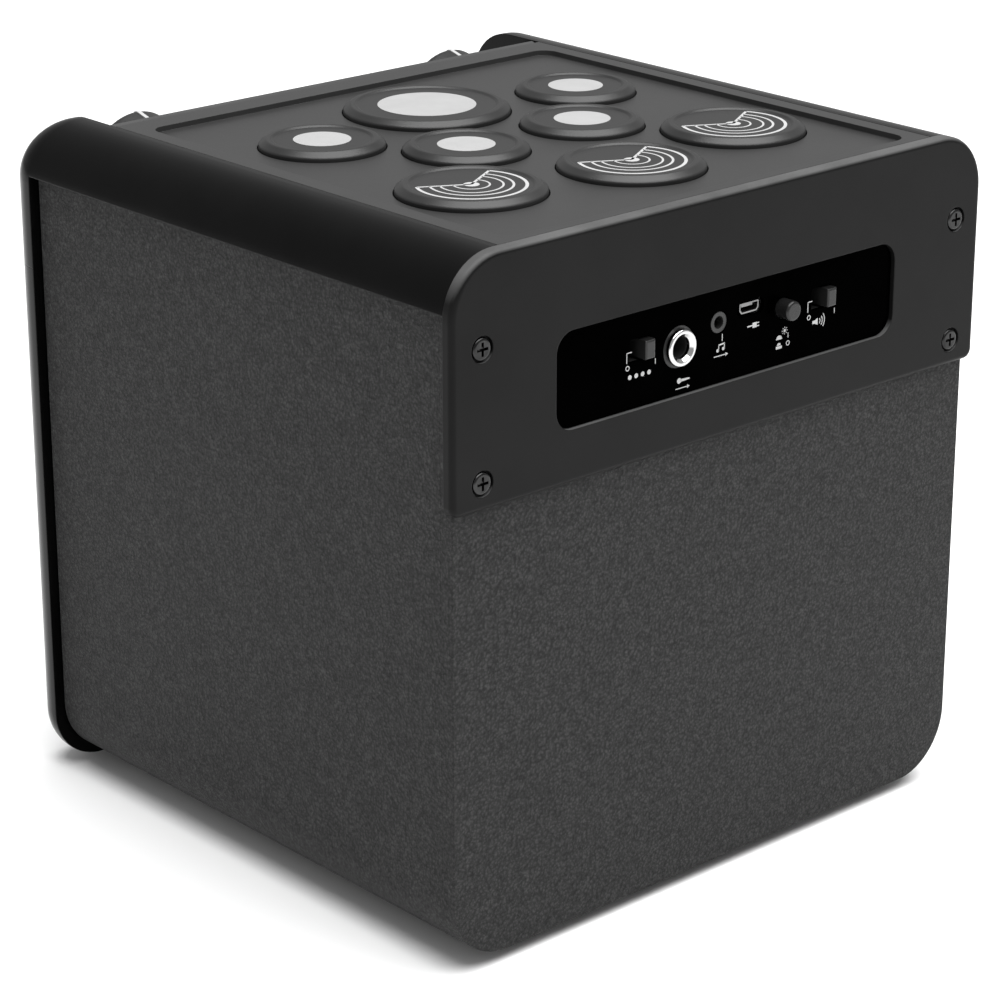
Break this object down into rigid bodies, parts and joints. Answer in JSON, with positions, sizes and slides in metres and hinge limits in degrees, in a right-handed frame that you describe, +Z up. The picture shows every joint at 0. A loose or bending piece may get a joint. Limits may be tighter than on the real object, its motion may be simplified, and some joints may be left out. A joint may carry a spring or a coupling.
{
  "type": "drum pad loudspeaker",
  "caption": "Cube-shaped portable loudspeaker with drum pads on its top plate, turning knobs on a sloped front panel and a rear socket window.",
  "frame": {"origin": "centre of the footprint, on the surface that the rubber feet stand on", "axes": "+Z up, -Y towards the loudspeaker front, +Y towards the socket side, +X to the left seen from the front"},
  "size_m": [0.2044, 0.2044, 0.2066],
  "materials": {
    "vinyl_board": "textured vinyl over board",
    "bare_board": "bare fibre board",
    "gloss_black": "gloss",
    "satin_grey": "satin",
    "matte_black": "fine matte",
    "pad_rubber": "smooth silicone",
    "foot_rubber": "soft black",
    "circuit": "solder mask",
    "steel": "plated",
    "bright_ring": "polished",
    "dark_metal": "powder coat",
    "iron": "ground",
    "cone": "moulded fibre",
    "diffuser": "translucent",
    "cell_wrap": "shrink wrap"
  },
  "bodies": {
    "case": {"aux_jack": "matte_black", "battery_cells": "cell_wrap", "battery_tray": "matte_black", "board_screws": "steel", "cabinet_shell": "vinyl_board", "control_board": "circuit", "control_panel": "satin_grey", "display_module": "matte_black", "display_window": "gloss_black", "drum_switch": "matte_black", "feet": "foot_rubber", "front_baffle": "bare_board", "front_bezel": "gloss_black", "grille": "dark_metal", "jack_board": "circuit", "jack_frame": "matte_black", "led_board": "circuit", "light_ring": "diffuser", "light_switch": "matte_black", "main_board": "circuit", "mic_ferrule": "bright_ring", "mic_jack": "matte_black", "pad_board": "circuit", "pad_cushions": "foot_rubber", "pad_plate": "satin_grey", "panel_screws": "steel", "pot_left": "steel", "pot_right": "steel", "rear_board": "vinyl_board", "rear_plate": "matte_black", "rear_screws": "steel", "rear_window": "gloss_black", "speaker_switch": "matte_black", "top_housing": "gloss_black", "usb_port": "steel", "woofer_basket": "dark_metal", "woofer_magnet": "iron", "woofer_screws": "steel", "woofer_surround": "foot_rubber", "woofer_yoke": "iron"},
    "pad_bass_body": {"pad_bass": "pad_rubber"},
    "pad_cymbal_centre_body": {"pad_cymbal_centre": "pad_rubber"},
    "pad_cymbal_left_body": {"pad_cymbal_left": "pad_rubber"},
    "pad_cymbal_right_body": {"pad_cymbal_right": "pad_rubber"},
    "pad_drum_inner_left_body": {"pad_drum_inner_left": "pad_rubber"},
    "pad_drum_inner_right_body": {"pad_drum_inner_right": "pad_rubber"},
    "pad_drum_outer_left_body": {"pad_drum_outer_left": "pad_rubber"},
    "pad_drum_outer_right_body": {"pad_drum_outer_right": "pad_rubber"},
    "button_1_body": {"button_1": "matte_black"},
    "button_2_body": {"button_2": "matte_black"},
    "button_3_body": {"button_3": "matte_black"},
    "button_4_body": {"button_4": "matte_black"},
    "knob_left_body": {"knob_left": "matte_black"},
    "knob_right_body": {"knob_right": "matte_black"},
    "drum_switch_slider": {"drum_switch_cap": "matte_black"},
    "speaker_switch_slider": {"speaker_switch_cap": "matte_black"},
    "light_button_body": {"light_button": "matte_black"},
    "woofer_cone_body": {"woofer_cone": "cone", "dust_cap": "cone"}
  },
  "joints": [
    {"name": "pad_bass_press", "type": "slide", "parent": "case", "child": "pad_bass_body", "axis": [0, 0, -1], "range_m": [0, 0.0012], "stiffness_N_per_m": 2500, "springref_m": -0.0002},
    {"name": "pad_cymbal_centre_press", "type": "slide", "parent": "case", "child": "pad_cymbal_centre_body", "axis": [0, 0, -1], "range_m": [0, 0.0012], "stiffness_N_per_m": 2500, "springref_m": -0.0002},
    {"name": "pad_cymbal_left_press", "type": "slide", "parent": "case", "child": "pad_cymbal_left_body", "axis": [0, 0, -1], "range_m": [0, 0.0012], "stiffness_N_per_m": 2500, "springref_m": -0.0002},
    {"name": "pad_cymbal_right_press", "type": "slide", "parent": "case", "child": "pad_cymbal_right_body", "axis": [0, 0, -1], "range_m": [0, 0.0012], "stiffness_N_per_m": 2500, "springref_m": -0.0002},
    {"name": "pad_drum_inner_left_press", "type": "slide", "parent": "case", "child": "pad_drum_inner_left_body", "axis": [0, 0, -1], "range_m": [0, 0.0012], "stiffness_N_per_m": 2500, "springref_m": -0.0002},
    {"name": "pad_drum_inner_right_press", "type": "slide", "parent": "case", "child": "pad_drum_inner_right_body", "axis": [0, 0, -1], "range_m": [0, 0.0012], "stiffness_N_per_m": 2500, "springref_m": -0.0002},
    {"name": "pad_drum_outer_left_press", "type": "slide", "parent": "case", "child": "pad_drum_outer_left_body", "axis": [0, 0, -1], "range_m": [0, 0.0012], "stiffness_N_per_m": 2500, "springref_m": -0.0002},
    {"name": "pad_drum_outer_right_press", "type": "slide", "parent": "case", "child": "pad_drum_outer_right_body", "axis": [0, 0, -1], "range_m": [0, 0.0012], "stiffness_N_per_m": 2500, "springref_m": -0.0002},
    {"name": "button_1_press", "type": "slide", "parent": "case", "child": "button_1_body", "axis": [0, 0.9659, -0.2588], "range_m": [0, 0.0008], "stiffness_N_per_m": 1200, "springref_m": -0.0003},
    {"name": "button_2_press", "type": "slide", "parent": "case", "child": "button_2_body", "axis": [0, 0.9659, -0.2588], "range_m": [0, 0.0008], "stiffness_N_per_m": 1200, "springref_m": -0.0003},
    {"name": "button_3_press", "type": "slide", "parent": "case", "child": "button_3_body", "axis": [0, 0.9659, -0.2588], "range_m": [0, 0.0008], "stiffness_N_per_m": 1200, "springref_m": -0.0003},
    {"name": "button_4_press", "type": "slide", "parent": "case", "child": "button_4_body", "axis": [0, 0.9659, -0.2588], "range_m": [0, 0.0008], "stiffness_N_per_m": 1200, "springref_m": -0.0003},
    {"name": "knob_left_turn", "type": "hinge", "parent": "case", "child": "knob_left_body", "pos_m": [-0.06175, -0.07893, 0.18521], "axis": [0, -0.9659, 0.2588], "range_deg": [-150, 150]},
    {"name": "knob_right_turn", "type": "hinge", "parent": "case", "child": "knob_right_body", "pos_m": [0.06175, -0.07893, 0.18521], "axis": [0, -0.9659, 0.2588], "range_deg": [-150, 150]},
    {"name": "drum_switch_slide", "type": "slide", "parent": "case", "child": "drum_switch_slider", "axis": [1, 0, 0], "range_m": [0, 0.004]},
    {"name": "speaker_switch_slide", "type": "slide", "parent": "case", "child": "speaker_switch_slider", "axis": [1, 0, 0], "range_m": [0, 0.004]},
    {"name": "light_button_push", "type": "slide", "parent": "case", "child": "light_button_body", "axis": [0, -1, 0], "range_m": [0, 0.002], "stiffness_N_per_m": 800, "springref_m": -0.0005},
    {"name": "woofer_cone_throw", "type": "slide", "parent": "case", "child": "woofer_cone_body", "axis": [0, -1, 0], "range_m": [-0.002, 0.002], "stiffness_N_per_m": 1500, "deforming": ["woofer_surround"]}
  ]
}
